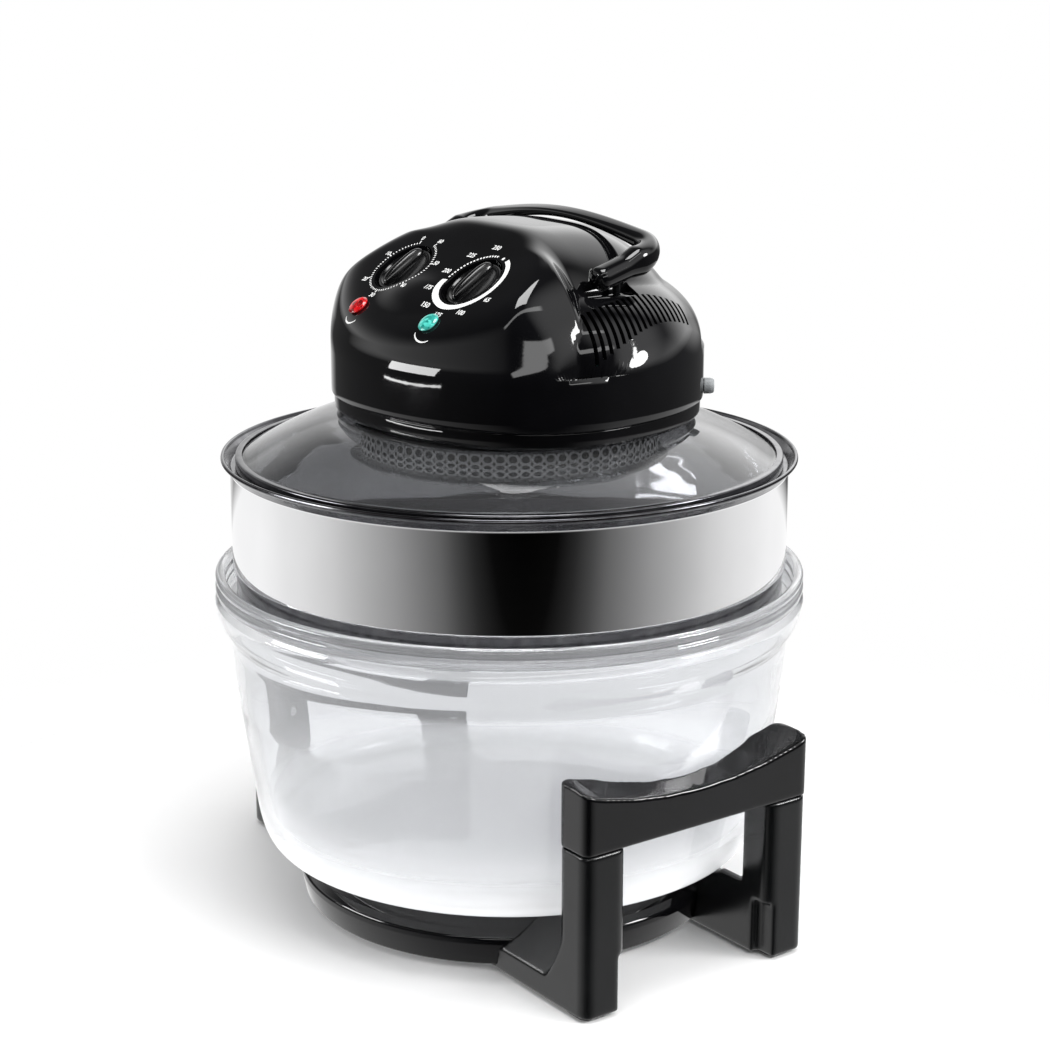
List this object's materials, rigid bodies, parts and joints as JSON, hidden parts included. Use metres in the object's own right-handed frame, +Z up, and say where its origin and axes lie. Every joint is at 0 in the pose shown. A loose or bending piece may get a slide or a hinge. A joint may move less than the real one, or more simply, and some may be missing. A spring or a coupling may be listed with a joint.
{
  "type": "halogen convection oven",
  "caption": "Tabletop halogen convection oven: glass bowl in a black stand, steel extender ring, and a smoked-glass lid carrying a domed motor head with dials and a folding carry handle.",
  "frame": {"origin": "on the table under the bowl's axis, at the middle of the bounding box's bottom face", "axes": "+Z up along the bowl's axis; -Y is the front, where the dials face; the stand's handles are on +X and -X"},
  "size_m": [0.35, 0.342, 0.4058],
  "materials": {
    "satin_black": "satin black moulded plastic",
    "gloss_black": "glossy black moulded plastic",
    "clear_glass": "clear tempered glass",
    "smoked_glass": "grey smoked tempered glass",
    "mirror_steel": "mirror-polished stainless steel",
    "sheet_steel": "plain pressed steel",
    "zinc_steel": "zinc-plated steel",
    "aluminium": "plain aluminium sheet",
    "copper_wire": "enamelled copper winding",
    "lamp_glass": "clear lamp glass",
    "ceramic": null,
    "grey_plastic": "grey moulded plastic",
    "rubber": "black or grey rubber",
    "red_lens": "red translucent lens",
    "green_lens": "blue-green translucent lens"
  },
  "bodies": {
    "stand": {"stand_ring": "satin_black", "leg_right_front": "satin_black", "leg_right_rear": "satin_black", "leg_left_front": "satin_black", "leg_left_rear": "satin_black", "pad_right_front": "rubber", "pad_right_rear": "rubber", "pad_left_front": "rubber", "pad_left_rear": "rubber", "leg_screw_right_front": "zinc_steel", "leg_screw_right_rear": "zinc_steel", "leg_screw_left_front": "zinc_steel", "leg_screw_left_rear": "zinc_steel", "grip_left": "gloss_black", "grip_right": "gloss_black", "grip_screw_right_front": "zinc_steel", "grip_screw_right_rear": "zinc_steel", "grip_screw_left_front": "zinc_steel", "grip_screw_left_rear": "zinc_steel"},
    "bowl": {"glass_bowl": "clear_glass"},
    "extender": {"extender_ring": "mirror_steel"},
    "lid_unit": {"glass_lid": "smoked_glass", "lid_rim": "mirror_steel", "lid_seal": "rubber", "clamp_ring": "sheet_steel", "guard_screw_1": "zinc_steel", "guard_screw_2": "zinc_steel", "guard_screw_3": "zinc_steel", "guard_basket": "sheet_steel", "heat_shield": "sheet_steel", "halogen_tube": "lamp_glass", "lamp_holder_left": "ceramic", "lamp_holder_right": "ceramic", "motor_stator": "sheet_steel", "motor_coil": "copper_wire", "motor_bracket": "sheet_steel", "head_base": "gloss_black", "head_cover": "gloss_black", "timer_body": "grey_plastic", "temperature_body": "grey_plastic", "power_lens": "red_lens", "heat_lens": "green_lens", "power_neon": "lamp_glass", "heat_neon": "lamp_glass", "safety_switch": "grey_plastic", "pivot_pin_left": "zinc_steel", "pivot_pin_right": "zinc_steel", "terminal_block": "grey_plastic", "cord_gland": "rubber", "cover_screw_right_front": "zinc_steel", "cover_screw_left_front": "zinc_steel", "cover_screw_right_rear": "zinc_steel", "cover_screw_left_rear": "zinc_steel"},
    "fans": {"motor_rotor": "sheet_steel", "convection_fan": "aluminium", "cooling_fan": "aluminium"},
    "timer_dial": {"timer_knob": "gloss_black"},
    "temperature_dial": {"temperature_knob": "gloss_black"},
    "bail": {"carry_handle": "gloss_black"},
    "plunger": {"switch_plunger": "grey_plastic"}
  },
  "joints": [
    {"name": "bowl_lift", "type": "slide", "parent": "stand", "child": "bowl", "axis": [0, 0, 1], "range_m": [0, 0.2]},
    {"name": "extender_lift", "type": "slide", "parent": "bowl", "child": "extender", "axis": [0, 0, 1], "range_m": [0, 0.15]},
    {"name": "head_lift", "type": "slide", "parent": "extender", "child": "lid_unit", "axis": [0, 0, 1], "range_m": [0, 0.2]},
    {"name": "handle_fold", "type": "hinge", "parent": "lid_unit", "child": "bail", "pos_m": [0, 0.004, 0.379], "axis": [1, 0, 0], "range_deg": [0, 73]},
    {"name": "timer_turn", "type": "hinge", "parent": "lid_unit", "child": "timer_dial", "pos_m": [-0.0338, -0.03794, 0.3577], "axis": [0, -0.5592, 0.829], "range_deg": [-300, 0]},
    {"name": "temperature_turn", "type": "hinge", "parent": "lid_unit", "child": "temperature_dial", "pos_m": [0.0338, -0.03794, 0.3577], "axis": [0, -0.5592, 0.829], "range_deg": [-270, 0]},
    {"name": "fan_spin", "type": "hinge", "parent": "lid_unit", "child": "fans", "pos_m": [0, 0, 0.29], "axis": [0, 0, 1], "continuous": true},
    {"name": "switch_press", "type": "slide", "parent": "lid_unit", "child": "plunger", "axis": [0, 0, 1], "range_m": [0, 0.003], "stiffness_N_per_m": 2, "springref_m": 0.004}
  ],
  "couplings": [
    {"joint": "switch_press", "follows": "handle_fold", "m_per_rad": 0.0022761}
  ]
}
